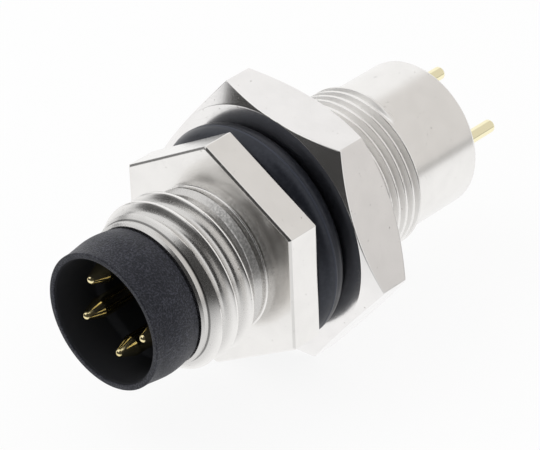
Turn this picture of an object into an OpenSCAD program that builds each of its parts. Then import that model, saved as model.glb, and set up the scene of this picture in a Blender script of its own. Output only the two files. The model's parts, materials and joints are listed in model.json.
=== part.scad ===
// Male sensor connector for a panel, with four contacts in a moulded cup.
// Its axis is the Y axis: the cup faces -Y and the solder tails leave towards +Y.
// The origin lies on that axis, in the rear face of the hex flange, where the seal bears.
// Angles about the axis go from +X towards +Z, as seen from the front.

/* [Housing front] */
// Diameter over the crests of the front coupling thread
front_thread_d = 8; // [7.6:0.1:9]
// Distance from the front end face to the flange
front_len = 4.1; // [3.4:0.1:8]
// Diameter of the plain pilot in front of the coupling thread
pilot_d = 7; // [6.9:0.02:7.4]
// Length of that pilot, up to the 45 degree start of the thread
pilot_len = 0.36; // [0.2:0.02:0.6]
// Edge break on the front end of the pilot
pilot_edge = 0.11; // [0.03:0.01:0.16]
// Diameter of the groove where the coupling thread runs out
front_relief_d = 6.84; // [6.7:0.02:7]
// Distance from the flange to the front end of the groove's floor
front_relief_len = 1; // [0.8:0.05:1.2]
// Width of the groove's floor
front_relief_floor = 0.25; // [0.1:0.05:0.4]
// Angle of the groove's front wall, from square to the axis
front_relief_slope = 30; // [10:5:45]
// Diameter of the low ring between the groove and the flange
root_ring_d = 7.16; // [7.04:0.02:7.4]

/* [Flange] */
// Width of the hex flange across its flats
flange_flats = 10; // [9.4:0.1:13]
// Thickness of the flange
flange_len = 1.7; // [1:0.1:3]
// Bevel along the front edges of the flange
flange_bevel = 0.08; // [0.04:0.02:0.3]

/* [Panel thread] */
// Diameter over the crests of the fine panel thread
panel_thread_d = 8; // [7.7:0.1:9]
// Distance from the flange to the rear end of the panel thread
panel_thread_end = 8.3; // [6:0.1:14]
// Diameter of the plain neck that carries the seal
neck_d = 7.3; // [7:0.1:7.6]
// Length of that neck
neck_len = 1.5; // [1:0.1:2.4]

/* [Rear barrel] */
// Diameter of the plain barrel, small enough for the nut to pass over it
barrel_d = 7.4; // [7.1:0.1:7.7]
// Length of the barrel behind the panel thread
barrel_len = 4.2; // [2:0.1:10]
// Wall of the barrel round the potting
barrel_wall = 0.4; // [0.2:0.05:0.7]
// Edge break on the rear end of the barrel
barrel_edge = 0.15; // [0.05:0.05:0.18]

/* [Contact carrier] */
// Outer diameter of the cup at its lip, in front of the housing
collar_d = 6.62; // [6.3:0.02:6.8]
// Length of the cup in front of the housing
collar_len = 2.7; // [2.5:0.1:5]
// Edge break on the rim of the cup
collar_edge = 0.09; // [0.03:0.01:0.14]
// Length of the straight lip of the cup
lip_len = 0.4; // [0.2:0.05:0.7]
// Height of the ridge that swells between the lip and the heel
ridge_height = 0.18; // [0.06:0.02:0.26]
// Distance from the rim to the ridge's highest part
ridge_at = 1.65; // [1.3:0.05:2]
// Width of the ridge's highest part
ridge_top = 0.3; // [0.1:0.05:0.5]
// Outer diameter of the cup at its heel, against the housing
heel_d = 6.7; // [6.5:0.02:6.76]
// Wall of the cup in front of the housing
rim_wall = 0.32; // [0.24:0.02:0.6]
// Outer diameter of the carrier inside the housing
carrier_d = 6; // [5.6:0.1:6.2]
// Wall of the cup inside the housing
carrier_wall = 0.3; // [0.2:0.05:0.5]
// Depth of the cup from its rim to its floor
cup_depth = 5.5; // [4:0.1:7]
// Length of the carrier inside the housing
carrier_len = 7.8; // [6.6:0.1:9]

/* [Contacts] */
// Diameter of a contact, in the cup and in the potting
contact_d = 1; // [0.8:0.05:1.1]
// Diameter of the ball tip of a contact
contact_tip_d = 0.4; // [0.2:0.02:0.6]
// Length of the tapered nose of a contact
contact_nose_len = 1.05; // [0.5:0.05:2]
// Distance from the rim of the cup back to the contact tips
contact_setback = 0.5; // [0.2:0.1:1.5]
// Diameter of the circle on which the contacts stand
contact_circle_d = 3.74; // [3.5:0.02:4]
// Direction of the narrow pair of contacts, about the axis
contact_key_angle = 240; // [0:1:359]
// Half the angle between the two contacts of the wide pair
wide_half_angle = 72.6; // [66:0.2:80]
// Half the angle between the two contacts of the narrow pair
narrow_half_angle = 37.2; // [34:0.2:44]
// Diameter of the collar that seats a contact in the carrier
seat_collar_d = 1.4; // [1.2:0.05:1.5]
// Length of that collar
seat_collar_len = 1.5; // [0.5:0.1:2]
// Diameter of a solder tail
tail_d = 0.66; // [0.4:0.02:0.9]
// Length of a solder tail behind the barrel
tail_len = 3.25; // [1:0.05:8]
// Edge break on the end of a solder tail
tail_edge = 0.15; // [0.05:0.05:0.2]

/* [Seal and nut] */
// Diameter of the seal's round section
seal_cord = 1.6; // [1.2:0.05:2]
// Width of the nut across its flats
nut_flats = 12; // [11:0.1:14]
// Thickness of the nut
nut_len = 2.7; // [2:0.1:3.6]
// Angle of the turned chamfers on the nut's corners
nut_chamfer_angle = 30; // [15:1:40]
// Distance from the flats in to the edge of the nut's round faces
nut_face_inset = 0.08; // [0:0.02:0.4]
// Chamfer at both mouths of the nut's thread
nut_mouth = 0.3; // [0.1:0.05:0.5]
// Angle through which the nut stands turned against the flange
nut_angle = 20.4; // [0:0.1:60]

/* [Fits] */
// Radial clearance between the nut and the panel thread
nut_clearance = 0.03; // [0.02:0.01:0.08]
// Radial clearance between the carrier and the housing
carrier_clearance = 0.02; // [0.01:0.01:0.05]
// Radial clearance between a contact and what it passes through
contact_clearance = 0.01; // [0.005:0.005:0.03]
// Clearance between the seal and the faces around it
seal_clearance = 0.02; // [0.01:0.01:0.05]
// Depth of the potting below the end of the barrel
potting_recess = 0.4; // [0.1:0.1:1.5]

/* [Hidden] */
$fn = 96;

// Overlap of a cutter past the face that it cuts
cut = 0.5;

// Stations along the axis, from front to rear
rim_y = -flange_len - front_len - collar_len;
front_y = -flange_len - front_len;
flange_front_y = -flange_len;
cup_floor_y = rim_y + cup_depth;
carrier_rear_y = front_y + carrier_len;
barrel_end_y = panel_thread_end + barrel_len;
potting_end_y = barrel_end_y - potting_recess;
tail_end_y = barrel_end_y + tail_len;
nut_front_y = seal_cord + 2 * seal_clearance;

// Radii that pieces share
front_thread_r = front_thread_d / 2;
pilot_r = pilot_d / 2;
front_relief_r = front_relief_d / 2;
root_ring_r = root_ring_d / 2;
panel_thread_r = panel_thread_d / 2;
neck_r = neck_d / 2;
barrel_r = barrel_d / 2;
barrel_bore_r = barrel_r - barrel_wall;
carrier_r = carrier_d / 2;
carrier_bore_r = carrier_r + carrier_clearance;
collar_r = collar_d / 2;
ridge_r = collar_r + ridge_height;
heel_r = heel_d / 2;
cup_mouth_r = collar_r - rim_wall;
cup_r = carrier_r - carrier_wall;
contact_r = contact_d / 2;
tail_r = tail_d / 2;
seat_collar_r = seat_collar_d / 2;
nut_bore_r = panel_thread_r + nut_clearance;
seal_r = neck_r + seal_clearance + seal_cord / 2;

// Places of the contacts about the axis: the wide pair is first and last
contact_angles = [
    contact_key_angle - 180 + wide_half_angle,
    contact_key_angle - narrow_half_angle,
    contact_key_angle + narrow_half_angle,
    contact_key_angle + 180 - wide_half_angle,
];

// Height of a cone of this angle between two radii
function cone_height(outer_r, inner_r, angle) = (outer_r - inner_r) * tan(angle);

// Points of a ball tip on the axis, from its front point out to its full radius
function ball_tip(r, station) =
    [for (turn = [0:15:90]) [r * sin(turn), station + r * (1 - cos(turn))]];

// Corner radius of a hexagon of this width across its flats
function hex_corner_r(flats) = flats / sqrt(3);

// Stands what is drawn along Z on the connector's axis, at a station
module on_axis(station = 0, angle = 0) {
    translate([0, station, 0])
        rotate([-90, 0, 0])
            rotate([0, 0, -angle])
                children();
}

// A solid turned from a list of points, each a radius and a station
module turned(points) {
    on_axis()
        rotate_extrude()
            polygon(points);
}

// A round hole or rod along the axis between two stations
module round_bar(r, from, to) {
    on_axis(from)
        cylinder(r = r, h = to - from);
}

// A hexagonal bar along the axis with a corner at an angle
module hex_bar(flats, from, to, corner_angle) {
    on_axis(from, corner_angle)
        linear_extrude(to - from)
            circle(r = hex_corner_r(flats), $fn = 6);
}

// Puts a copy of what is drawn on the axis at each contact's place
module at_contacts(angles = contact_angles) {
    for (angle = angles)
        rotate([0, -angle, 0])
            translate([contact_circle_d / 2, 0, 0])
                children();
}

// The turned outside of the housing, without its flange
module housing_turning() {
    lead_in = front_thread_r - pilot_r;
    relief_front_y = flange_front_y - front_relief_len;
    relief_rear_y = relief_front_y + front_relief_floor;
    relief_wall = cone_height(front_thread_r, front_relief_r, front_relief_slope);
    root_ring_y = (relief_rear_y + flange_front_y) / 2;
    root_r = (front_relief_r + root_ring_r) / 2;
    neck_step = panel_thread_r - neck_r;
    barrel_step = panel_thread_r - barrel_r;
    turned([
        [0, front_y],
        [pilot_r - pilot_edge, front_y],
        [pilot_r, front_y + pilot_edge],
        [pilot_r, front_y + pilot_len],
        [front_thread_r, front_y + pilot_len + lead_in],
        [front_thread_r, relief_front_y - relief_wall],
        [front_relief_r, relief_front_y],
        [front_relief_r, relief_rear_y],
        [root_ring_r, root_ring_y],
        [root_r, (root_ring_y + flange_front_y) / 2],
        [root_r, flange_front_y / 2],
        [neck_r, flange_front_y / 2],
        [neck_r, neck_len],
        [panel_thread_r, neck_len + neck_step],
        [panel_thread_r, panel_thread_end - barrel_step],
        [barrel_r, panel_thread_end],
        [barrel_r, barrel_end_y - barrel_edge],
        [barrel_r - barrel_edge, barrel_end_y],
        [0, barrel_end_y],
    ]);
}

// The hex flange with a bevel milled along each front edge
module flange() {
    bevel_side = flange_bevel * sqrt(2);
    difference() {
        hex_bar(flange_flats, flange_front_y, 0, 90);
        for (flat = [0:5])
            on_axis(flange_front_y, flat * 60)
                translate([flange_flats / 2, 0, 0])
                    rotate([0, 45, 0])
                        cube([bevel_side, flange_flats, bevel_side], center = true);
    }
}

module housing() {
    color([0.80, 0.78, 0.75])
        difference() {
            union() {
                housing_turning();
                flange();
            }
            turned([
                [0, front_y - cut],
                [carrier_bore_r, front_y - cut],
                [carrier_bore_r, carrier_rear_y],
                [barrel_bore_r, carrier_rear_y],
                [barrel_bore_r, barrel_end_y + cut],
                [0, barrel_end_y + cut],
            ]);
        }
}

// The moulding that holds the contacts: a cup in front, a solid plug behind
module contact_carrier() {
    lead_in = cup_mouth_r - cup_r;
    ridge_y = rim_y + ridge_at;
    color([0.10, 0.10, 0.12])
        difference() {
            turned([
                [0, rim_y],
                [collar_r - collar_edge, rim_y],
                [collar_r, rim_y + collar_edge],
                [collar_r, rim_y + lip_len],
                [ridge_r, ridge_y - ridge_top / 2],
                [ridge_r, ridge_y + ridge_top / 2],
                [heel_r, front_y],
                [carrier_r, front_y],
                [carrier_r, carrier_rear_y],
                [0, carrier_rear_y],
            ]);
            turned([
                [0, rim_y - cut],
                [cup_mouth_r, rim_y - cut],
                [cup_mouth_r, front_y - lead_in],
                [cup_r, front_y],
                [cup_r, cup_floor_y],
                [0, cup_floor_y],
            ]);
            at_contacts() {
                round_bar(contact_r + contact_clearance, cup_floor_y - cut, carrier_rear_y + cut);
                round_bar(seat_collar_r + contact_clearance,
                    carrier_rear_y - seat_collar_len, carrier_rear_y + cut);
            }
        }
}

// One contact: ball tip, tapered nose, straight pin, seating collar and solder tail
module contact_pin(angle) {
    tip_y = rim_y + contact_setback;
    collar_y = carrier_rear_y - seat_collar_len;
    tip_r = contact_tip_d / 2;
    color([0.86, 0.68, 0.30])
        at_contacts([angle])
            turned(concat(ball_tip(tip_r, tip_y), [
                [contact_r, tip_y + contact_nose_len],
                [contact_r, collar_y],
                [seat_collar_r, collar_y],
                [seat_collar_r, carrier_rear_y],
                [contact_r, carrier_rear_y],
                [contact_r, potting_end_y],
                [tail_r, potting_end_y],
                [tail_r, tail_end_y - tail_edge],
                [tail_r - tail_edge, tail_end_y],
                [0, tail_end_y],
            ]));
}

// The resin that fills the barrel behind the carrier
module potting() {
    color([0.09, 0.09, 0.10])
        difference() {
            round_bar(barrel_bore_r - carrier_clearance, carrier_rear_y, potting_end_y);
            at_contacts()
                round_bar(contact_r + contact_clearance, carrier_rear_y - cut, potting_end_y + cut);
        }
}

module panel_seal() {
    color([0.07, 0.07, 0.08])
        on_axis(seal_clearance + seal_cord / 2)
            rotate_extrude()
                translate([seal_r, 0])
                    circle(d = seal_cord);
}

// The hexagonal nut: chamfers turned on its corners leave a round face at each end
module panel_nut() {
    corner_r = hex_corner_r(nut_flats);
    face_r = nut_flats / 2 - nut_face_inset;
    chamfer_y = cone_height(corner_r, face_r, nut_chamfer_angle);
    mouth_r = nut_bore_r + nut_mouth;
    nut_rear_y = nut_front_y + nut_len;
    color([0.82, 0.80, 0.77])
        difference() {
            intersection() {
                hex_bar(nut_flats, nut_front_y, nut_rear_y, 90 + nut_angle);
                turned([
                    [0, nut_front_y],
                    [face_r, nut_front_y],
                    [corner_r, nut_front_y + chamfer_y],
                    [corner_r, nut_rear_y - chamfer_y],
                    [face_r, nut_rear_y],
                    [0, nut_rear_y],
                ]);
            }
            round_bar(nut_bore_r, nut_front_y - cut, nut_rear_y + cut);
            turned([
                [0, nut_front_y - cut],
                [mouth_r + cut, nut_front_y - cut],
                [nut_bore_r, nut_front_y + nut_mouth],
                [0, nut_front_y + nut_mouth],
            ]);
            turned([
                [0, nut_rear_y + cut],
                [mouth_r + cut, nut_rear_y + cut],
                [nut_bore_r, nut_rear_y - nut_mouth],
                [0, nut_rear_y - nut_mouth],
            ]);
        }
}

housing();
contact_carrier();
contact_pin(contact_angles[0]);  // contact_pin_1
contact_pin(contact_angles[1]);  // contact_pin_2
contact_pin(contact_angles[2]);  // contact_pin_3
contact_pin(contact_angles[3]);  // contact_pin_4
potting();
panel_seal();
panel_nut();
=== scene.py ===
"""Looks of a round male sensor connector for a panel: threads, edges, finishes, studio and camera."""

import json
import math

import bmesh
import bpy
import numpy as np
from mathutils import Matrix, Vector


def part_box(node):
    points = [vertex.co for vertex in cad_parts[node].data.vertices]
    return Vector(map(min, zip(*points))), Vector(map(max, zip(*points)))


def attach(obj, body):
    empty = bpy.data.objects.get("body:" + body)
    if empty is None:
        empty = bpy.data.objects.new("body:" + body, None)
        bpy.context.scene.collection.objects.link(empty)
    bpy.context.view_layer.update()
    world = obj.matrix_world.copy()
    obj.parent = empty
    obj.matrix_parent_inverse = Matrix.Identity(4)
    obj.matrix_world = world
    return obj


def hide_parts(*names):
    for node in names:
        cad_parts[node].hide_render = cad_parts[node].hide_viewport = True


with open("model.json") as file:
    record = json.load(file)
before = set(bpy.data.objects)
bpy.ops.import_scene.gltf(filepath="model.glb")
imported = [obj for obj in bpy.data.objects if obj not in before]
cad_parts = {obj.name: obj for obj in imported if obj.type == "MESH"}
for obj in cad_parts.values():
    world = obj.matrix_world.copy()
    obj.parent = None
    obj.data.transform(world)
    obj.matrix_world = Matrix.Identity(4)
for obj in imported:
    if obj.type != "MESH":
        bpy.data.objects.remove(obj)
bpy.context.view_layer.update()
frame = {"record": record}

MM = 0.001

# Sizes that the frame gives, in millimetres
mounts = {mount["name"]: mount for mount in frame["record"]["mounts"]}


def box_mm(node):
    """Lowest and highest corner of a CAD node, in millimetres."""
    low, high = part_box(node)
    return low / MM, high / MM


HOUSING_LOW, HOUSING_HIGH = box_mm("housing")
CARRIER_LOW, CARRIER_HIGH = box_mm("contact_carrier")
PIN_LOW, PIN_HIGH = box_mm("contact_pin_1")
SEAL_LOW, SEAL_HIGH = box_mm("panel_seal")
NUT_LOW, NUT_HIGH = box_mm("panel_nut")
POTTING_END = box_mm("potting")[1].y
FRONT_END = HOUSING_LOW.y
BARREL_END = HOUSING_HIGH.y
FLANGE_APOTHEM = HOUSING_HIGH.x
RIM = CARRIER_LOW.y
CARRIER_REAR = CARRIER_HIGH.y
RIDGE_R = CARRIER_HIGH.x
TIP = PIN_LOW.y
TAIL_END = PIN_HIGH.y
NUT_REAR = NUT_HIGH.y
FRONT_THREAD_R = mounts["front_thread"]["dims"]["r_mm"]
BARREL_R = mounts["rear_barrel"]["dims"]["r_mm"]
CONTACT_NUMBERS = (1, 2, 3, 4)
CONTACT_NAMES = [f"contact_pin_{number}" for number in CONTACT_NUMBERS]
TAIL_MOUNTS = [mounts[f"solder_tail_{number}"] for number in CONTACT_NUMBERS]
TAIL_R = TAIL_MOUNTS[0]["dims"]["r_mm"]
CONTACT_PLACES = [(tail["pos_m"][0] / MM, tail["pos_m"][2] / MM) for tail in TAIL_MOUNTS]

# Housing: sizes and slopes that the frame doesn't give, in millimetres and degrees
PILOT_R = 3.5
PILOT_EDGE = 0.11
PILOT_LEN = 0.36
GROOVE_R = 3.42
GROOVE_FRONT = -2.7
GROOVE_REAR = -2.45
GROOVE_WALL = math.tan(math.radians(60))
ROOT_RING_R = 3.58
ROOT_RING_AT = -2.11
ROOT_RING_LEN = 0.1
ROOT_RING_FALL = 0.02
ROOT_R = 3.48
ROOT_LEN = 0.16
FLANGE_FOOT_R = 3.5
FLANGE_FACE_R = 4.6
FLANGE_FRONT = -1.7
FLANGE_CORNER_ANGLE = 30.0
FLANGE_CORNER_EASE = 0.07
FLANGE_BEVEL = 0.1
BEVEL_REACH = 0.01
BEVEL_EASE = 0.004
FLANGE_REAR_EASE = 0.08
NECK_R = 3.65
NECK_END = 1.5
CARRIER_BORE_R = 3.02
BARREL_BORE_R = 3.3

# Flange's rear edge: how far each point lies inside the flats, and in front of the rear face
FLANGE_REAR_EDGE = ((0.0, FLANGE_REAR_EASE), (0.01, 0.035), (0.035, 0.01), (FLANGE_REAR_EASE, 0.0))

# Threads: sizes of their profiles, and the station of a crest at angle zero
FRONT_PITCH = 1.0
FRONT_CREST_HALF = 0.06
FRONT_CREST_EASE = 0.03
FRONT_ROOT_R = 0.27
FRONT_CREST_AT = -4.12
PANEL_THREAD_R = 3.99
PANEL_PITCH = 0.5
PANEL_CREST_HALF = 0.055
PANEL_CREST_EASE = 0.016
PANEL_ROOT_R = 0.06
PANEL_CREST_AT = 7.696
NUT_THREAD_GAP = 0.03

# Panel thread's end: where the last crest fades, and how its rear flank falls to the barrel
PANEL_LAST_CREST = 8.598
PANEL_FADE = 0.06
PANEL_FLANK_LEN = 0.16
PANEL_FLANK_MORE = 0.3
PANEL_FLANK_SLOPE = 2
BARREL_START = PANEL_LAST_CREST + 0.22

# Carrier, contacts and potting, in millimetres and degrees
CARRIER_R = 3.0
COLLAR_R = 3.33
LIP_LEN = 0.4
RIDGE_AT = 1.65
RIDGE_SWELL = 0.016
HEEL_R = 3.35
HEEL_EDGE = 0.12
HEEL_GROOVE_DEPTH = 0.17
HEEL_GROOVE_LEN = 0.1
CUP_MOUTH_R = 3.0
CUP_LEAD_IN = 0.3
CUP_R = 2.7
CUP_FLOOR = -3.0
CONTACT_R = 0.5
CONTACT_TIP_R = 0.225
CONTACT_DOME = 70
CONTACT_NOSE = 0.9
SEAT_COLLAR_R = 0.7
SEAT_COLLAR_LEN = 1.5
CONTACT_FIT = 0.01
POTTING_FIT = 0.02
MENISCUS = 0.12
MENISCUS_POWER = 6

# Seal and nut, in millimetres and degrees
SEAL_SPREAD = 0.06
SEAL_SWELL = 0.14
SEAL_RIDGE_DEG = -6.5
SEAL_RIDGE_AT = 0.79
SEAL_RIDGE_HEIGHT = 0.012
SEAL_RIDGE_TOP = 0.8
SEAL_RIDGE_FOOT = 1.6
NUT_APOTHEM = 6.0
NUT_CORNER_ANGLE = 50.4
NUT_CORNER_EASE = 0.08
NUT_FACE = NUT_LOW.y + SEAL_SWELL
NUT_FACE_R = 5.97
NUT_CHAMFER = math.tan(math.radians(30))
NUT_CHAMFER_EASE = 0.01
NUT_EDGE_REACH = 0.035
NUT_EDGE_EASE = 0.008
NUT_EDGE_DROP = 0.045
NUT_MOUTH_R = 4.33
NUT_MOUTH_LIP = 0.1

# Nut's round face: how far each row lies outside its edge, and at least inside the flats
NUT_FACE_EDGE = ((-0.05, 0.06), (-0.015, 0.055), (0.0, 0.05), (0.015, 0.045), (0.05, 0.04))

# Fineness of the meshes: columns, phases of a thread, and distances in millimetres (MERGE in metres)
TURN_STEPS = 216
PIN_STEPS = 64
ARC_STEPS = 4
ARC_SHARE = 0.49
DOME_POINTS = 8
MENISCUS_POINTS = 12
SEAL_STEP_DEG = 8
ANGLE_DIGITS = 6
CORNER_COLUMNS = (-0.9, -0.6, -0.3, 0.0, 0.3, 0.6, 0.9)
FRONT_PHASES = (0.0, 0.04, 0.06, 0.08, 0.12, 0.2, 0.27, 0.34, 0.42,
                0.5, 0.58, 0.66, 0.73, 0.8, 0.88, 0.92, 0.94, 0.96)
PANEL_PHASES = (0.0, 0.08, 0.11, 0.15, 0.25, 0.36, 0.5, 0.64, 0.75, 0.85, 0.89, 0.92)
GUARD = 0.02
CUT_PAST = 0.3
MERGE = 2e-7


# Meshes

def turn_angles(steps, corner_angle=None):
    """Angles of a mesh's columns over one turn, in degrees, closer together at a hexagon's corners."""
    angles = set(np.linspace(0.0, 360.0, steps + 1).round(ANGLE_DIGITS))
    if corner_angle is not None:
        for corner in range(6):
            for near in CORNER_COLUMNS:
                angles.add(round((corner_angle + 60 * corner + near) % 360, ANGLE_DIGITS))
    return np.array(sorted(angles))


def ring(angles, r, y):
    """One row of a mesh: a radius and a station for each angle."""
    return np.broadcast_to(r, angles.shape).astype(float), np.broadcast_to(y, angles.shape).astype(float)


def rounded(points):
    """A profile of (radius, station) from corners of (radius, station, rounding).
    A point close to each end of an arc keeps the straight parts' shading straight."""
    profile = []
    for index, (r, y, rounding) in enumerate(points):
        inner = 0 < index < len(points) - 1
        if not inner or rounding == 0:
            profile.append((r, y))
            continue
        here = np.array((r, y))
        back = np.array(points[index - 1][:2]) - here
        ahead = np.array(points[index + 1][:2]) - here
        back_len, ahead_len = np.linalg.norm(back), np.linalg.norm(ahead)
        half = math.acos(np.clip(back @ ahead / back_len / ahead_len, -1, 1)) / 2
        reach = min(rounding / math.tan(half), ARC_SHARE * back_len, ARC_SHARE * ahead_len)
        radius = reach * math.tan(half)
        start, end = here + back / back_len * reach, here + ahead / ahead_len * reach
        middle = (start + end) / 2 - here
        centre = here + middle / np.linalg.norm(middle) * (radius / math.sin(half))
        profile.append(tuple(start + back / back_len * min(GUARD, 0.5 * (back_len / 2 - reach))))
        for step in range(ARC_STEPS + 1):
            chord = start + (end - start) * step / ARC_STEPS - centre
            profile.append(tuple(centre + chord / np.linalg.norm(chord) * radius))
        profile.append(tuple(end + ahead / ahead_len * min(GUARD, 0.5 * (ahead_len / 2 - reach))))
    return profile


def turned_rows(angles, points):
    """Rows of a turned profile."""
    return [ring(angles, r, y) for r, y in rounded(points)]


def hex_radius(angles, apothem, corner_angle, rounding):
    """Distance from the axis to a hexagon with eased corners, at each angle."""
    from_corner = np.radians((angles - corner_angle + 30) % 60 - 30)
    centre = (apothem - rounding) / math.cos(math.radians(30))
    reach = math.atan2(rounding / 2, centre + rounding * math.cos(math.radians(30)))
    flat = apothem / np.cos(math.radians(30) - np.abs(from_corner))
    inside = np.maximum(rounding ** 2 - (centre * np.sin(from_corner)) ** 2, 0)
    arc = centre * np.cos(from_corner) + np.sqrt(inside)
    return np.where(np.abs(from_corner) < reach, arc, flat)


def thread_radius(phase, crest_r, pitch, crest_half, crest_ease, root_r):
    """Radius of a 60 degree thread with eased crests and round roots, by its phase from a crest."""
    slope = math.tan(math.radians(60))
    from_crest = np.abs((phase + 0.5) % 1 - 0.5) * pitch
    past = from_crest - crest_half
    flank = crest_r - slope * (past + np.sqrt(past ** 2 + crest_ease ** 2)) / 2
    from_root = pitch / 2 - from_crest
    apex = crest_r - slope * (pitch / 2 - crest_half)
    arc = apex + 2 * root_r - np.sqrt(np.maximum(root_r ** 2 - from_root ** 2, 0))
    return np.where(from_root < root_r * math.cos(math.radians(30)), arc, flank)


def thread_rows(angles, start, end, pitch, crest_at, phases, radius_of, limit):
    """Rows that climb a right-hand thread from one station to another.
    radius_of takes the phase from a crest, and limit takes that radius and the station."""
    first = math.floor((start - crest_at) / pitch) - 1
    last = math.ceil((end - crest_at) / pitch) + 2
    rows = []
    for turn in range(first, last):
        for phase in phases:
            y = np.clip(crest_at + pitch * (turn + phase - angles / 360), start, end)
            here = (y - crest_at) / pitch + angles / 360
            rows.append((limit(radius_of(here), y), y))
    return rows


def mesh_from_rows(name, angles, rows, place=(0, 0)):
    """A closed mesh object from rows of radii and stations.
    The last row meets the first, unless both are poles."""
    turn = np.radians(angles)
    cos, sin = np.cos(turn), np.sin(turn)
    points = np.array([np.column_stack((r * cos + place[0], y, r * sin + place[1])) for r, y in rows]) * MM
    row_count, column_count = points.shape[:2]
    faces = []
    for row in range(row_count):
        below, above = row * column_count, (row + 1) % row_count * column_count
        faces += [
            (below + column, above + column, above + column + 1, below + column + 1)
            for column in range(column_count - 1)
        ]
    mesh = bpy.data.meshes.new(name)
    mesh.from_pydata(points.reshape(-1, 3).tolist(), [], faces)
    work = bmesh.new()
    work.from_mesh(mesh)
    bmesh.ops.remove_doubles(work, verts=work.verts, dist=MERGE)
    bmesh.ops.dissolve_degenerate(work, dist=MERGE, edges=work.edges)
    bmesh.ops.delete(work, geom=[v for v in work.verts if not v.link_faces], context="VERTS")
    bmesh.ops.recalc_face_normals(work, faces=work.faces)
    work.to_mesh(mesh)
    work.free()
    piece = bpy.data.objects.new(name, mesh)
    bpy.context.scene.collection.objects.link(piece)
    return piece


def smooth(piece, sharp_deg):
    """Smooth shading, with edges over an angle left sharp."""
    piece.data.polygons.foreach_set("use_smooth", [True] * len(piece.data.polygons))
    piece.data.set_sharp_from_angle(angle=math.radians(sharp_deg))


def cut(piece, cutters):
    """Cuts closed meshes out of a piece and deletes them."""
    for cutter in cutters:
        step = piece.modifiers.new("cut", "BOOLEAN")
        step.operation = "DIFFERENCE"
        step.solver = "EXACT"
        step.object = cutter
    bpy.context.view_layer.update()
    shaped = bpy.data.meshes.new_from_object(piece.evaluated_get(bpy.context.evaluated_depsgraph_get()))
    piece.modifiers.clear()
    piece.data = shaped
    for cutter in cutters:
        bpy.data.objects.remove(cutter)


# Pieces

def front_profile(phase):
    """Radius of the coarse coupling thread, by its phase from a crest."""
    return thread_radius(phase, FRONT_THREAD_R, FRONT_PITCH, FRONT_CREST_HALF, FRONT_CREST_EASE, FRONT_ROOT_R)


def panel_profile(phase):
    """Radius of the fine panel thread, by its phase from a crest."""
    return thread_radius(phase, PANEL_THREAD_R, PANEL_PITCH, PANEL_CREST_HALF, PANEL_CREST_EASE, PANEL_ROOT_R)


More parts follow.
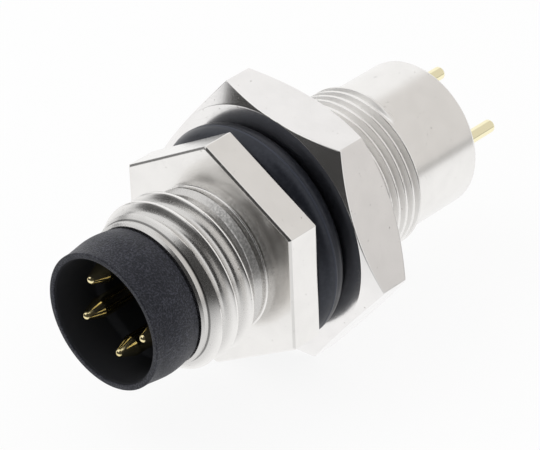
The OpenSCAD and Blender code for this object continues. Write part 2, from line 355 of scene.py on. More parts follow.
def make_housing():
    """The turned and plated body: front thread, run-out groove, hex flange, neck, panel thread and barrel."""
    angles = turn_angles(TURN_STEPS, FLANGE_CORNER_ANGLE)
    thread_start = FRONT_END + PILOT_LEN

    def front_limit(r, y):
        """Keeps the front thread under its lead-in and the wall of its run-out groove."""
        lead_in = PILOT_R + (y - thread_start)
        runout = GROOVE_R + (GROOVE_FRONT - y) * GROOVE_WALL
        return np.minimum(np.minimum(r, lead_in), runout)

    def crest_share(crest_y):
        """How much is left of a crest, from all of it to none past the last crest's station."""
        share = np.clip((PANEL_LAST_CREST - crest_y) / PANEL_FADE + 0.5, 0, 1)
        return share ** 2 * (3 - 2 * share)

    def panel_limit(r, y):
        """Keeps the panel thread under its chamfered start, and fades its last crest along the helix."""
        entry = NECK_R + (y - NECK_END)
        turn = np.round((y - PANEL_CREST_AT) / PANEL_PITCH + angles / 360)
        crest_y = PANEL_CREST_AT + PANEL_PITCH * (turn - angles / 360)
        last = crest_y + PANEL_FLANK_LEN + PANEL_FLANK_MORE * crest_share(crest_y + PANEL_PITCH)
        leaving = np.maximum(BARREL_R + PANEL_FLANK_SLOPE * (last - y), BARREL_R)
        faded = BARREL_R + (r - BARREL_R) * crest_share(crest_y)
        return np.minimum(np.minimum(faded, entry), leaving)

    def flange(inset, y):
        """A row of the flange, so far inside its flats."""
        outline = hex_radius(angles, FLANGE_APOTHEM - inset, FLANGE_CORNER_ANGLE, FLANGE_CORNER_EASE)
        return ring(angles, outline, y)

    rows = turned_rows(angles, [
        (CARRIER_BORE_R, CARRIER_REAR, 0),
        (CARRIER_BORE_R, FRONT_END, 0.04),
        (PILOT_R - PILOT_EDGE, FRONT_END, 0.02),
        (PILOT_R, FRONT_END + PILOT_EDGE, 0.03),
        (PILOT_R, thread_start - GUARD, 0),
        (PILOT_R, thread_start, 0),
    ])
    rows += thread_rows(angles, thread_start, GROOVE_FRONT, FRONT_PITCH, FRONT_CREST_AT, FRONT_PHASES,
                        front_profile, front_limit)
    rows += turned_rows(angles, [
        (GROOVE_R, GROOVE_FRONT, 0),
        (GROOVE_R, GROOVE_FRONT + GUARD, 0),
        (GROOVE_R, GROOVE_REAR, 0.15),
        (ROOT_RING_R, ROOT_RING_AT, 0.04),
        (ROOT_RING_R - ROOT_RING_FALL, ROOT_RING_AT + ROOT_RING_LEN, 0.05),
        (ROOT_R, FLANGE_FRONT - ROOT_LEN, 0.1),
        (FLANGE_FOOT_R, FLANGE_FRONT, 0.1),
        (FLANGE_FACE_R, FLANGE_FRONT, 0),
    ])
    bevel_in, bevel_end = FLANGE_BEVEL + BEVEL_REACH, FLANGE_FRONT + FLANGE_BEVEL
    rows += [
        flange(bevel_in + GUARD, FLANGE_FRONT),
        flange(bevel_in, FLANGE_FRONT),
        flange(FLANGE_BEVEL - BEVEL_EASE, FLANGE_FRONT + BEVEL_EASE),
        flange(BEVEL_EASE, bevel_end - BEVEL_EASE),
        flange(0.0, bevel_end + BEVEL_REACH),
        flange(0.0, bevel_end + BEVEL_REACH + GUARD),
        flange(0.0, -FLANGE_REAR_EASE - GUARD),
        *(flange(inset, -ahead) for inset, ahead in FLANGE_REAR_EDGE),
        flange(FLANGE_REAR_EASE + GUARD, 0.0),
    ]
    rows += turned_rows(angles, [
        (FLANGE_FACE_R, 0, 0),
        (NECK_R, 0, 0.06),
        (NECK_R, NECK_END - GUARD, 0),
        (NECK_R, NECK_END, 0),
    ])
    rows += thread_rows(angles, NECK_END, BARREL_START, PANEL_PITCH, PANEL_CREST_AT, PANEL_PHASES,
                        panel_profile, panel_limit)
    rows += turned_rows(angles, [
        (BARREL_R, BARREL_START, 0),
        (BARREL_R, BARREL_START + GUARD, 0),
        (BARREL_R, BARREL_END, 0.16),
        (BARREL_BORE_R, BARREL_END, 0.05),
        (BARREL_BORE_R, CARRIER_REAR, 0),
    ])
    piece = mesh_from_rows("housing_body", angles, rows)
    smooth(piece, sharp_deg=28)
    return piece


def stepped_holes(steps):
    """Cutters at the four contacts, each turned from (radius, station) steps."""
    angles = turn_angles(PIN_STEPS)
    return [
        mesh_from_rows(f"hole_{index}", angles, [ring(angles, r, y) for r, y in steps], place)
        for index, place in enumerate(CONTACT_PLACES)
    ]


def make_carrier():
    """The moulding: a cup with a rounded rim in front, a plug with four holes behind."""
    angles = turn_angles(TURN_STEPS)
    rows = turned_rows(angles, [
        (0, CUP_FLOOR, 0),
        (CUP_R, CUP_FLOOR, 0.12),
        (CUP_R, FRONT_END, 0.2),
        (CUP_MOUTH_R, FRONT_END - CUP_LEAD_IN, 0.2),
        (CUP_MOUTH_R, RIM, 0.14),
        (COLLAR_R, RIM, 0.06),
        (COLLAR_R, RIM + LIP_LEN, 1.2),
        (RIDGE_R + RIDGE_SWELL, RIM + RIDGE_AT, 3.0),
        (HEEL_R, FRONT_END - HEEL_EDGE, 0.04),
        (HEEL_R - HEEL_GROOVE_DEPTH, FRONT_END - HEEL_GROOVE_LEN, 0.02),
        (HEEL_R - HEEL_GROOVE_DEPTH, FRONT_END, 0),
        (CARRIER_R, FRONT_END, 0),
        (CARRIER_R, CARRIER_REAR, 0.05),
        (0, CARRIER_REAR, 0),
    ])
    piece = mesh_from_rows("carrier_moulding", angles, rows)
    hole_r, seat_r = CONTACT_R + CONTACT_FIT, SEAT_COLLAR_R + CONTACT_FIT
    hole_start, hole_end = CUP_FLOOR - CUT_PAST, CARRIER_REAR + CUT_PAST
    seat_y = CARRIER_REAR - SEAT_COLLAR_LEN
    cut(piece, stepped_holes([
        (0, hole_start), (hole_r, hole_start), (hole_r, seat_y),
        (seat_r, seat_y), (seat_r, hole_end), (0, hole_end),
    ]))
    smooth(piece, sharp_deg=35)
    return piece


def make_pin(name, place):
    """A turned contact: ball tip, tapered nose, straight pin, seating collar and solder tail."""
    angles = turn_angles(PIN_STEPS)
    dome = [
        (CONTACT_TIP_R * math.sin(turn), TIP + CONTACT_TIP_R * (1 - math.cos(turn)), 0)
        for turn in np.radians(np.linspace(0, CONTACT_DOME, DOME_POINTS))
    ]
    seat_y = CARRIER_REAR - SEAT_COLLAR_LEN
    rows = turned_rows(angles, [
        *dome,
        (CONTACT_R, TIP + CONTACT_NOSE, 0.05),
        (CONTACT_R, seat_y, 0),
        (SEAT_COLLAR_R, seat_y, 0.04),
        (SEAT_COLLAR_R, CARRIER_REAR, 0.04),
        (CONTACT_R, CARRIER_REAR, 0),
        (CONTACT_R, POTTING_END, 0.02),
        (TAIL_R, POTTING_END, 0),
        (TAIL_R, TAIL_END, 0.15),
        (0, TAIL_END, 0),
    ])
    piece = mesh_from_rows(name + "_turning", angles, rows, place)
    smooth(piece, sharp_deg=40)
    return piece


def make_potting():
    """The resin in the barrel, drawn up a little at its wall."""
    angles = turn_angles(TURN_STEPS)
    wall_r = BARREL_BORE_R - POTTING_FIT
    surface = [
        (wall_r * (1 - share), POTTING_END - MENISCUS * (1 - (1 - share) ** MENISCUS_POWER))
        for share in np.linspace(0, 1, MENISCUS_POINTS)
    ]
    rows = turned_rows(angles, [(0, CARRIER_REAR, 0), (wall_r, CARRIER_REAR, 0)])
    rows += [ring(angles, r, y) for r, y in surface]
    piece = mesh_from_rows("potting_resin_fill", angles, rows)
    hole_r = CONTACT_R + CONTACT_FIT
    hole_start, hole_end = CARRIER_REAR - CUT_PAST, POTTING_END + CUT_PAST
    cut(piece, stepped_holes([(0, hole_start), (hole_r, hole_start), (hole_r, hole_end), (0, hole_end)]))
    smooth(piece, sharp_deg=40)
    return piece


def make_seal():
    """The rubber ring, swelled out to the nut, with the fine ridge of its mould near its outer edge."""
    angles = turn_angles(TURN_STEPS)
    section_r = (SEAL_HIGH.y - SEAL_LOW.y) / 2
    middle_y = (SEAL_HIGH.y + SEAL_LOW.y + SEAL_SWELL) / 2
    middle_r = SEAL_HIGH.x - section_r + SEAL_SPREAD
    plain = range(SEAL_STEP_DEG, 180, SEAL_STEP_DEG)
    ridge_tops = (-SEAL_RIDGE_TOP, 0.0, SEAL_RIDGE_TOP)
    turns = [(-from_ridge, 0.0) for from_ridge in reversed(plain)]
    turns += [(-SEAL_RIDGE_FOOT, 0.0)]
    turns += [(from_ridge, SEAL_RIDGE_HEIGHT) for from_ridge in ridge_tops]
    turns += [(SEAL_RIDGE_FOOT, 0.0)]
    turns += [(from_ridge, 0.0) for from_ridge in plain]
    rows = []
    for from_ridge, height in turns:
        turn = math.radians(SEAL_RIDGE_DEG + from_ridge)
        rows.append(ring(angles, middle_r + (section_r + height + SEAL_SPREAD) * math.cos(turn),
                         middle_y + (section_r + height + SEAL_SWELL / 2) * math.sin(turn)))
    piece = mesh_from_rows("seal_ring", angles, rows)
    smooth(piece, sharp_deg=60)
    return piece


def make_nut():
    """The hex nut: 30 degree chamfers leave round faces and curved edges.
    Its thread meets the panel thread."""
    angles = turn_angles(TURN_STEPS, NUT_CORNER_ANGLE)
    hexagon = hex_radius(angles, NUT_APOTHEM, NUT_CORNER_ANGLE, NUT_CORNER_EASE)
    middle = (NUT_FACE + NUT_REAR) / 2

    def nut_profile(phase):
        """Radius of the nut's thread, just clear of the panel thread."""
        return panel_profile(phase) + NUT_THREAD_GAP

    def nut_limit(r, y):
        """Keeps the nut's thread out of the chamfers at its mouths."""
        mouth = NUT_MOUTH_R - np.minimum(y - NUT_FACE, NUT_REAR - y)
        return np.maximum(r, mouth)

    def drop(r):
        """How far the chamfer falls from the end face at a radius, with an eased start."""
        past = r - NUT_FACE_R
        return NUT_CHAMFER * (past + np.sqrt(past ** 2 + NUT_CHAMFER_EASE ** 2)) / 2

    def half(sign, end):
        """Rows from the round face out over the chamfer to the flats, at one end of the nut."""
        face = [np.minimum(NUT_FACE_R + near, hexagon - inset) for near, inset in NUT_FACE_EDGE]
        chamfer_end = hexagon - NUT_EDGE_REACH
        chamfer = [np.maximum(face[-1], chamfer_end - GUARD), chamfer_end]
        edge = [
            (hexagon - NUT_EDGE_EASE, NUT_EDGE_EASE),
            (hexagon, NUT_EDGE_DROP),
            (hexagon, NUT_EDGE_DROP + GUARD),
        ]
        return [
            ring(angles, NUT_MOUTH_R + NUT_MOUTH_LIP, end),
            *(ring(angles, r, end + sign * drop(r)) for r in face + chamfer),
            *(ring(angles, r, end + sign * (drop(hexagon) + further)) for r, further in edge),
        ]

    rows = half(1, NUT_FACE)
    rows += [ring(angles, hexagon, middle)]
    rows += half(-1, NUT_REAR)[::-1]
    rows += thread_rows(angles, NUT_FACE, NUT_REAR, PANEL_PITCH, PANEL_CREST_AT, PANEL_PHASES,
                        nut_profile, nut_limit)[::-1]
    piece = mesh_from_rows("nut_hexagon", angles, rows)
    smooth(piece, sharp_deg=28)
    return piece


# Materials

def add_node(tree, kind, settings=None, **inputs):
    """A shader node with its settings and its inputs, each a value or another node's output.
    An input is named by its label, or by an underscore and its number."""
    node = tree.nodes.new(kind)
    for name, value in (settings or {}).items():
        setattr(node, name, value)
    for name, value in inputs.items():
        socket = node.inputs[int(name[1:])] if name[0] == "_" else node.inputs[name.replace("_", " ")]
        if isinstance(value, bpy.types.NodeSocket):
            tree.links.new(value, socket)
        else:
            socket.default_value = value
    return node


def new_material(name):
    """A material with a bare shader, and its coordinates in millimetres."""
    material = bpy.data.materials.new(name)
    material.use_nodes = True
    tree = material.node_tree
    shader = tree.nodes["Principled BSDF"]
    place = add_node(tree, "ShaderNodeTexCoord").outputs["Object"]
    place = add_node(tree, "ShaderNodeVectorMath", {"operation": "SCALE"}, _0=place, Scale=1 / MM).outputs[0]
    return material, tree, shader, place


def maths(tree, operation, *values):
    """The result of one operation on values."""
    inputs = {f"_{index}": value for index, value in enumerate(values)}
    return add_node(tree, "ShaderNodeMath", {"operation": operation}, **inputs).outputs[0]


def product(tree, first, *others):
    """Values multiplied, one after another."""
    for other in others:
        first = maths(tree, "MULTIPLY", first, other)
    return first


def noise(tree, place, scale, detail=2.0, roughness=0.5):
    """Noise of so many cells to a millimetre."""
    return add_node(tree, "ShaderNodeTexNoise", Vector=place, Scale=scale, Detail=detail,
                    Roughness=roughness).outputs["Fac"]


def spread(tree, value, span, to_low, to_high):
    """A value carried from a span to another range, and held at its ends."""
    return add_node(tree, "ShaderNodeMapRange", {"interpolation_type": "SMOOTHSTEP"}, Value=value,
                    _1=span[0], _2=span[1], _3=to_low, _4=to_high).outputs[0]


def rise(tree, value, span):
    """A mask that is 0 below a span and 1 above it."""
    return spread(tree, value, span, 0, 1)


def fall(tree, value, span):
    """A mask that is 1 below a span and 0 above it."""
    return spread(tree, value, span, 1, 0)


def shade(colour, share):
    """A colour made darker or paler by a share."""
    return tuple(share * part for part in colour)


def blend_colour(tree, share, first, second):
    """A colour between two, by a share."""
    mix = add_node(tree, "ShaderNodeMix", {"data_type": "RGBA"}, _0=share)
    for socket, value in ((mix.inputs[6], first), (mix.inputs[7], second)):
        if isinstance(value, bpy.types.NodeSocket):
            tree.links.new(value, socket)
        else:
            socket.default_value = (*value, 1)
    return mix.outputs[2]


def bump(tree, height, depth_mm, normal=None):
    """A bump of a depth in millimetres."""
    node = add_node(tree, "ShaderNodeBump", Height=height, Strength=1.0, Distance=depth_mm * MM)
    if normal is not None:
        tree.links.new(normal, node.inputs["Normal"])
    return node.outputs[0]


def axis_place(tree, place):
    """Radius and station of a point on a turned piece."""
    parts = add_node(tree, "ShaderNodeSeparateXYZ", Vector=place)
    across = add_node(tree, "ShaderNodeCombineXYZ", X=parts.outputs["X"], Y=parts.outputs["Z"]).outputs[0]
    radius = add_node(tree, "ShaderNodeVectorMath", {"operation": "LENGTH"}, _0=across).outputs["Value"]
    return radius, parts.outputs["Y"]


# Spans of radius and station over which the plating's look and its painted shade change, in millimetres
FLANGE_FRONT_SPAN = (FLANGE_FRONT - 0.1, FLANGE_FRONT - 0.02)
VALLEY_SHADE_R = (3.55, 3.95)
FINE_VALLEY_START = (NECK_END, NECK_END + 0.1)
FINE_VALLEY_END = (8.06, 8.21)
FINE_VALLEY_R = (3.92, 3.97)
ABOVE_BARREL_R = (BARREL_R + 0.02, BARREL_R + 0.05)
RUNOUT_START = (-3.05, -2.9)
RUNOUT_R = (3.62, 3.9)
PILOT_SHADE_START = (-5.5, -5.46)
PILOT_SHADE_END = (-5.41, -5.37)
PILOT_SHADE_R = (3.56, 3.62)
BEVEL_START = (FLANGE_FRONT + 0.01, FLANGE_FRONT + 0.02)
BEVEL_END = (FLANGE_FRONT + FLANGE_BEVEL - 0.02, FLANGE_FRONT + FLANGE_BEVEL - 0.01)

# The side of the run-out groove with the most painted shade: its direction, and the span of its cosine
RUNOUT_SHADE_DIRECTION = (0.707, 0, 0.707)
RUNOUT_SHADE_SPAN = (0.72, 0.95)

# Spans of noise or of a mask over which a look changes
WHOLE_SPAN = (0, 1)
SOFT_SPAN = (0.3, 0.7)
CLOUD_SPAN = (0.3, 0.75)
PIT_SPAN = (0.74, 0.79)
RUNOUT_SHADE_NOISE_SPAN = (0.38, 0.6)
SPECK_SPAN = (0.46, 0.62)


def nickel(name, colour, dark, rough_low, rough_high, ring_depth):
    """Satin nickel plating: soft clouds, fine grain, small pits, rings left by turning, duller thread
    grooves, painted shade below the front thread's crests, mottled painted shade in the run-out groove,
    a painted shade line in the corner behind the pilot and a brighter flange bevel."""
    material, tree, shader, place = new_material(name)
    radius, station = axis_place(tree, place)
    ring_place = add_node(tree, "ShaderNodeCombineXYZ", X=radius, Y=station).outputs[0]
    clouds = rise(tree, noise(tree, place, scale=0.9, detail=4), CLOUD_SPAN)
    pits = rise(tree, noise(tree, place, scale=7.0, detail=1), PIT_SPAN)
    grain = noise(tree, place, scale=16.0, detail=3)
    rings = noise(tree, ring_place, scale=14.0, detail=2)

    front = fall(tree, station, FLANGE_FRONT_SPAN)
    # Painted shade: darker below the front thread's crests, in front of the flange
    valley_shade = product(tree, fall(tree, radius, VALLEY_SHADE_R), front)
    on_thread = maths(tree, "MAXIMUM", fall(tree, station, FINE_VALLEY_END),
                      rise(tree, radius, ABOVE_BARREL_R))
    fine_valley = product(tree, rise(tree, station, FINE_VALLEY_START), on_thread,
                          fall(tree, radius, FINE_VALLEY_R))
    # Painted shade in the run-out groove, mottled by noise and strongest on its side towards +X and +Z
    runout_shade_mottle = spread(tree, noise(tree, place, scale=9.0, detail=4, roughness=0.65), RUNOUT_SHADE_NOISE_SPAN, 0.3, 1)
    toward = add_node(tree, "ShaderNodeVectorMath", {"operation": "DOT_PRODUCT"}, _0=place,
                      _1=RUNOUT_SHADE_DIRECTION).outputs["Value"]
    toward = maths(tree, "DIVIDE", toward, radius)
    runout = product(tree, fall(tree, radius, RUNOUT_R), front, rise(tree, station, RUNOUT_START), runout_shade_mottle,
                     spread(tree, toward, RUNOUT_SHADE_SPAN, 0.15, 1))
    # Painted shade: a dark line in the corner behind the pilot
    pilot_shade_line = product(tree, rise(tree, station, PILOT_SHADE_START), fall(tree, station, PILOT_SHADE_END),
                         fall(tree, radius, PILOT_SHADE_R))
    bevel = product(tree, rise(tree, station, BEVEL_START), fall(tree, station, BEVEL_END))

    base = blend_colour(tree, clouds, colour, shade(colour, 0.96))
    # Painted shade below the front thread's crests, in the run-out groove and in the corner behind the pilot
    for mask, share in ((valley_shade, 0.75), (runout, 0.4), (pilot_shade_line, 0.25)):
        base = blend_colour(tree, mask, base, shade(colour, share))
    base = blend_colour(tree, spread(tree, pits, WHOLE_SPAN, 0, 0.6), base, dark)
    tree.links.new(base, shader.inputs["Base Color"])
    shader.inputs["Metallic"].default_value = 1.0
    rough = spread(tree, grain, SOFT_SPAN, rough_low, rough_high)
    for mask, extra in ((valley_shade, 0.05), (fine_valley, 0.25), (runout, 0.1), (bevel, -0.12)):
        rough = maths(tree, "MULTIPLY_ADD", mask, extra, rough)
    tree.links.new(rough, shader.inputs["Roughness"])
    surface = bump(tree, rings, depth_mm=ring_depth)
    surface = bump(tree, grain, depth_mm=0.0002, normal=surface)
    surface = bump(tree, pits, depth_mm=-0.002, normal=surface)
    tree.links.new(surface, shader.inputs["Normal"])
    return material


# Moulded pieces: colours, and in millimetres the soft edge of the cup's painted shade
# and the reach of the painted highlight on a ridge
INNER_SHADE_BLACK = (0.0115, 0.0115, 0.0125)
COOL_SHEEN = (0.84, 0.88, 1.0, 1.0)
INNER_SHADE_EDGE = 0.04
RIDGE_HIGHLIGHT_FULL = 0.03
RIDGE_HIGHLIGHT_END = 0.09
RIDGE_HIGHLIGHT_R_FULL = 0.05
RIDGE_HIGHLIGHT_R_END = 0.08


def moulded(name, colour, speck, rough_low, rough_high, grain_scale, grain_depth, shade_r=0.0,
            highlight_place=None):
    """Moulded plastic or rubber: a fine matt grain with paler specks. Inside shade_r it has painted shade:
    plain black, rougher and without grain. A painted highlight makes it paler on a mould's ridge at
    highlight_place, a radius and a station."""
    material, tree, shader, place = new_material(name)
    radius, station = axis_place(tree, place)
    # Painted shade: inside the cup the plastic is plain black, rougher and without grain
    inner_shade = fall(tree, radius, (shade_r - INNER_SHADE_EDGE, shade_r))
    grain = noise(tree, place, grain_scale, detail=2, roughness=0.6)
    clouds = noise(tree, place, scale=0.7, detail=3)
    base = blend_colour(tree, rise(tree, grain, SPECK_SPAN), colour, speck)
    base = blend_colour(tree, spread(tree, clouds, SOFT_SPAN, 0, 0.35), base, shade(colour, 0.8))
    base = blend_colour(tree, inner_shade, base, INNER_SHADE_BLACK)
    if highlight_place is not None:
        # Painted highlight: a paler band along the mould's ridge
        ridge_r, ridge_y = highlight_place
        ridge_highlight = product(tree, rise(tree, station, (ridge_y - RIDGE_HIGHLIGHT_END, ridge_y - RIDGE_HIGHLIGHT_FULL)),
                        fall(tree, station, (ridge_y + RIDGE_HIGHLIGHT_FULL, ridge_y + RIDGE_HIGHLIGHT_END)),
                        rise(tree, radius, (ridge_r - RIDGE_HIGHLIGHT_R_END, ridge_r - RIDGE_HIGHLIGHT_R_FULL)))
        base = blend_colour(tree, ridge_highlight, base, shade(speck, 2.2))
    tree.links.new(base, shader.inputs["Base Color"])
    shader.inputs["Specular Tint"].default_value = COOL_SHEEN
    rough = maths(tree, "MULTIPLY_ADD", inner_shade, 0.3, spread(tree, clouds, SOFT_SPAN, rough_low, rough_high))
    tree.links.new(rough, shader.inputs["Roughness"])
    height = product(tree, grain, fall(tree, inner_shade, WHOLE_SPAN))
    tree.links.new(bump(tree, height, depth_mm=grain_depth), shader.inputs["Normal"])
    return material


GOLD = (0.93, 0.82, 0.50)
DEEP_GOLD = (0.88, 0.74, 0.38)
PALE_GOLD = (0.97, 0.90, 0.62)


def gold(name):
    """Bright gold plating over fine turning marks, paler on the solder tails."""
    material, tree, shader, place = new_material(name)
    clouds = rise(tree, noise(tree, place, scale=3.0, detail=3), SOFT_SPAN)
    _, station = axis_place(tree, place)
    base = blend_colour(tree, clouds, GOLD, DEEP_GOLD)
    base = blend_colour(tree, rise(tree, station, (POTTING_END, BARREL_END)), base, PALE_GOLD)
    tree.links.new(base, shader.inputs["Base Color"])
    shader.inputs["Metallic"].default_value = 1.0
    tree.links.new(spread(tree, clouds, WHOLE_SPAN, 0.08, 0.16), shader.inputs["Roughness"])
    marks = noise(tree, place, scale=18.0, detail=2)
    tree.links.new(bump(tree, marks, depth_mm=0.0008), shader.inputs["Normal"])
    return material


RESIN_BLACK = (0.012, 0.012, 0.014)
RESIN_GREY = (0.02, 0.02, 0.022)


def resin(name):
    """Poured resin: dark, glossy and slightly wavy."""
    material, tree, shader, place = new_material(name)
    waves = noise(tree, place, scale=0.8, detail=2)
    base = blend_colour(tree, rise(tree, waves, SOFT_SPAN), RESIN_BLACK, RESIN_GREY)
    tree.links.new(base, shader.inputs["Base Color"])
    tree.links.new(spread(tree, waves, SOFT_SPAN, 0.18, 0.32), shader.inputs["Roughness"])
    tree.links.new(bump(tree, waves, depth_mm=0.05), shader.inputs["Normal"])
    return material


# Assembly

def dress(piece, material, body, node):
    """Gives a piece its finish and its CAD node's place on a body."""
    piece.data.materials.clear()
    piece.data.materials.append(material)
    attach(piece, body)
    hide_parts(node)


nickel_housing = nickel("nickel_housing", colour=(0.885, 0.87, 0.85), dark=(0.32, 0.29, 0.26),
                        rough_low=0.19, rough_high=0.25, ring_depth=0.0003)
nickel_nut = nickel("nickel_nut", colour=(0.89, 0.875, 0.865), dark=(0.36, 0.33, 0.30),
                    rough_low=0.14, rough_high=0.20, ring_depth=0.0001)
# Painted shade inside the carrier's cup, out to just past its mouth
carrier_plastic = moulded("carrier_plastic", colour=(0.003, 0.0032, 0.006), speck=(0.043, 0.043, 0.057),
                          rough_low=0.42, rough_high=0.54, grain_scale=12.0, grain_depth=0.09,
                          shade_r=CUP_MOUTH_R + 0.06)
# A painted highlight along the seal's mould ridge
seal_rubber = moulded("seal_rubber", colour=(0.007, 0.008, 0.012), speck=(0.013, 0.0145, 0.02),
                      rough_low=0.3, rough_high=0.4, grain_scale=6.0, grain_depth=0.0015,
                      highlight_place=(SEAL_HIGH.x + 2 * SEAL_SPREAD, SEAL_RIDGE_AT))
contact_gold = gold("contact_gold")
potting_resin = resin("potting_resin")

dress(make_housing(), nickel_housing, "housing", "housing")
dress(make_carrier(), carrier_plastic, "housing", "contact_carrier")
for contact_name, contact_place in zip(CONTACT_NAMES, CONTACT_PLACES):
    dress(make_pin(contact_name, contact_place), contact_gold, "housing", contact_name)
dress(make_potting(), potting_resin, "housing", "potting")
dress(make_seal(), seal_rubber, "panel_seal", "panel_seal")
dress(make_nut(), nickel_nut, "panel_nut", "panel_nut")


# Studio

# Camera: degrees, and millimetres
CAMERA_AZIMUTH = 44.16
CAMERA_ELEVATION = 32.204
CAMERA_ROLL = -2.485
CAMERA_AIM = Vector((-0.422, 2.675, -0.588))
CAMERA_DISTANCE = 154.211
CAMERA_LENS = 224.466
CAMERA_SENSOR = 36
CAMERA_CLIP = 10

# Floor: half its width in millimetres, and how white the camera sees it, from 0 to 1
FLOOR_HALF = 250
FLOOR_GREY = (0.9, 0.9, 0.9, 1)
FLOOR_GLOW = 0.88

# Room that metal mirrors: its shades, and spans of a direction's parts over which each shade comes in
WHITE = (1, 1, 1, 1)
ROOM_WHITE = (1.0, 1.0, 1.0)
ROOM_GREY = (0.75, 0.73, 0.71)
ROOM_DARK = (0.45, 0.44, 0.43)
ROOM_BLACK = (0.045, 0.044, 0.043)
ROOM_LIGHT = 0.9
WALL_X = (-0.45, -0.2)
WALL_Y = (0.3, 0.5)
FOOT_Z = (-0.11, -0.05)
LOW_GAP_X = (0.2, 0.6)
LOW_GAP_Z = (-0.28, -0.17)
FRONT_LEAN = -0.229
FRONT_Y = (-0.37, -0.3)
FRONT_LOW_FOOT_Z = (-0.36, -0.16)
FRONT_LOW_TOP_Z = (0.35, 0.55)
FRONT_HIGH_X = (-0.12, 0.08)
FRONT_HIGH_Z = (0.25, 0.45)
FRONT_RIGHT_X = (0.1, 0.5)
FRONT_RIGHT_Z = (-0.85, 0.05)
LEFT_GAP_X = (-0.96, -0.9)
LEFT_GAP_Y = (-0.12, 0.0)
LEFT_GAP_FOOT_Z = (0.02, 0.08)
LEFT_GAP_TOP_Z = (0.2, 0.28)
PARTLY_BLACK = 0.85


def make_camera():
    """A long lens at the photo's viewing angle. Azimuth 0 looks along +Y."""
    azimuth, elevation = math.radians(CAMERA_AZIMUTH), math.radians(CAMERA_ELEVATION)
    back = Vector((math.cos(elevation) * math.sin(azimuth), -math.cos(elevation) * math.cos(azimuth),
                   math.sin(elevation)))
    right = Vector((0, 0, 1)).cross(back).normalized()
    level = Matrix((right, back.cross(right), back)).transposed()
    turn = level @ Matrix.Rotation(math.radians(CAMERA_ROLL), 3, "Z")
    data = bpy.data.cameras.new("camera")
    data.lens = CAMERA_LENS
    data.sensor_width = CAMERA_SENSOR
    data.clip_start = CAMERA_CLIP * MM
    camera = bpy.data.objects.new("camera", data)
    camera.matrix_world = Matrix.Translation((CAMERA_AIM + back * CAMERA_DISTANCE) * MM) @ turn.to_4x4()
    bpy.context.scene.collection.objects.link(camera)
    bpy.context.scene.camera = camera


def make_floor():
    """A plain pale floor under the nut's lowest corner."""
    half, level = FLOOR_HALF * MM, NUT_LOW.z * MM
    mesh = bpy.data.meshes.new("floor")
    mesh.from_pydata([(-half, -half, level), (half, -half, level), (half, half, level), (-half, half, level)],
                     [], [(0, 1, 2, 3)])
    floor = bpy.data.objects.new("floor", mesh)
    bpy.context.scene.collection.objects.link(floor)
    floor.visible_glossy = False
    material = bpy.data.materials.new("floor_white")
    material.use_nodes = True
    tree = material.node_tree
    tree.nodes.remove(tree.nodes["Principled BSDF"])
    path = add_node(tree, "ShaderNodeLightPath")
    matt = add_node(tree, "ShaderNodeBsdfDiffuse", Color=FLOOR_GREY)
    glow = add_node(tree, "ShaderNodeEmission", Color=WHITE, Strength=1.0)
    share = product(tree, path.outputs["Is Camera Ray"], FLOOR_GLOW)
    final = add_node(tree, "ShaderNodeMixShader", _0=share, _1=matt.outputs[0], _2=glow.outputs[0])
    tree.links.new(final.outputs[0], tree.nodes["Material Output"].inputs["Surface"])
    mesh.materials.append(material)


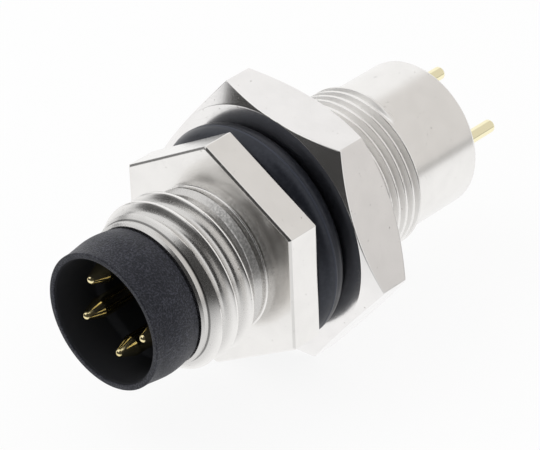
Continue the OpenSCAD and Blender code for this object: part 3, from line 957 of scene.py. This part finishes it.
def make_world():
    """A white tent: white behind the object, and softly graded where metal mirrors it."""
    world = bpy.data.worlds.new("studio")
    bpy.context.scene.world = world
    world.use_nodes = True
    tree = world.node_tree
    path = add_node(tree, "ShaderNodeLightPath")
    direction = add_node(tree, "ShaderNodeSeparateXYZ",
                         Vector=add_node(tree, "ShaderNodeTexCoord").outputs["Generated"])
    x, y, z = (direction.outputs[axis] for axis in "XYZ")
    wall = product(tree, rise(tree, x, WALL_X), rise(tree, z, FOOT_Z), rise(tree, y, WALL_Y))
    low_gap = product(tree, rise(tree, z, LOW_GAP_Z), fall(tree, z, FOOT_Z), rise(tree, x, LOW_GAP_X))
    front = fall(tree, maths(tree, "MULTIPLY_ADD", x, FRONT_LEAN, y), FRONT_Y)
    front_low = product(tree, rise(tree, z, FRONT_LOW_FOOT_Z), fall(tree, z, FRONT_LOW_TOP_Z), front)
    front_high = product(tree, rise(tree, z, FRONT_HIGH_Z), rise(tree, x, FRONT_HIGH_X), front)
    front_right = product(tree, spread(tree, z, FRONT_RIGHT_Z, 0, PARTLY_BLACK),
                          rise(tree, x, FRONT_RIGHT_X), front)
    left_gap = product(tree, rise(tree, z, LEFT_GAP_FOOT_Z), fall(tree, z, LEFT_GAP_TOP_Z),
                       fall(tree, x, LEFT_GAP_X), spread(tree, y, LEFT_GAP_Y, PARTLY_BLACK, 0))
    mirrored = blend_colour(tree, wall, ROOM_WHITE, ROOM_GREY)
    mirrored = blend_colour(tree, low_gap, mirrored, ROOM_DARK)
    for mask in (left_gap, front_right, front_low, front_high):
        mirrored = blend_colour(tree, mask, mirrored, ROOM_BLACK)
    white = add_node(tree, "ShaderNodeBackground", Color=WHITE, Strength=1.0)
    tent = add_node(tree, "ShaderNodeBackground", Color=mirrored, Strength=1.0)
    soft = add_node(tree, "ShaderNodeBackground", Color=WHITE, Strength=ROOM_LIGHT)
    seen = maths(tree, "MAXIMUM", path.outputs["Is Glossy Ray"], path.outputs["Is Transmission Ray"])
    lit = add_node(tree, "ShaderNodeMixShader", _0=seen, _1=soft.outputs[0], _2=tent.outputs[0])
    final = add_node(tree, "ShaderNodeMixShader", _0=path.outputs["Is Camera Ray"], _1=lit.outputs[0],
                     _2=white.outputs[0])
    tree.links.new(final.outputs[0], tree.nodes["World Output"].inputs["Surface"])


def make_lamp(name, place, size, power):
    """A square soft box that faces the object, with its place and size in millimetres."""
    data = bpy.data.lights.new(name, "AREA")
    data.size = size * MM
    data.energy = power
    lamp = bpy.data.objects.new(name, data)
    turn = Vector(place).to_track_quat("Z", "Y").to_matrix().to_4x4()
    lamp.matrix_world = Matrix.Translation(Vector(place) * MM) @ turn
    lamp.visible_glossy = False
    bpy.context.scene.collection.objects.link(lamp)


make_camera()
make_floor()
make_world()
make_lamp("key", place=(-90, -60, 150), size=110, power=0.06)

bpy.context.scene.view_settings.view_transform = "Standard"
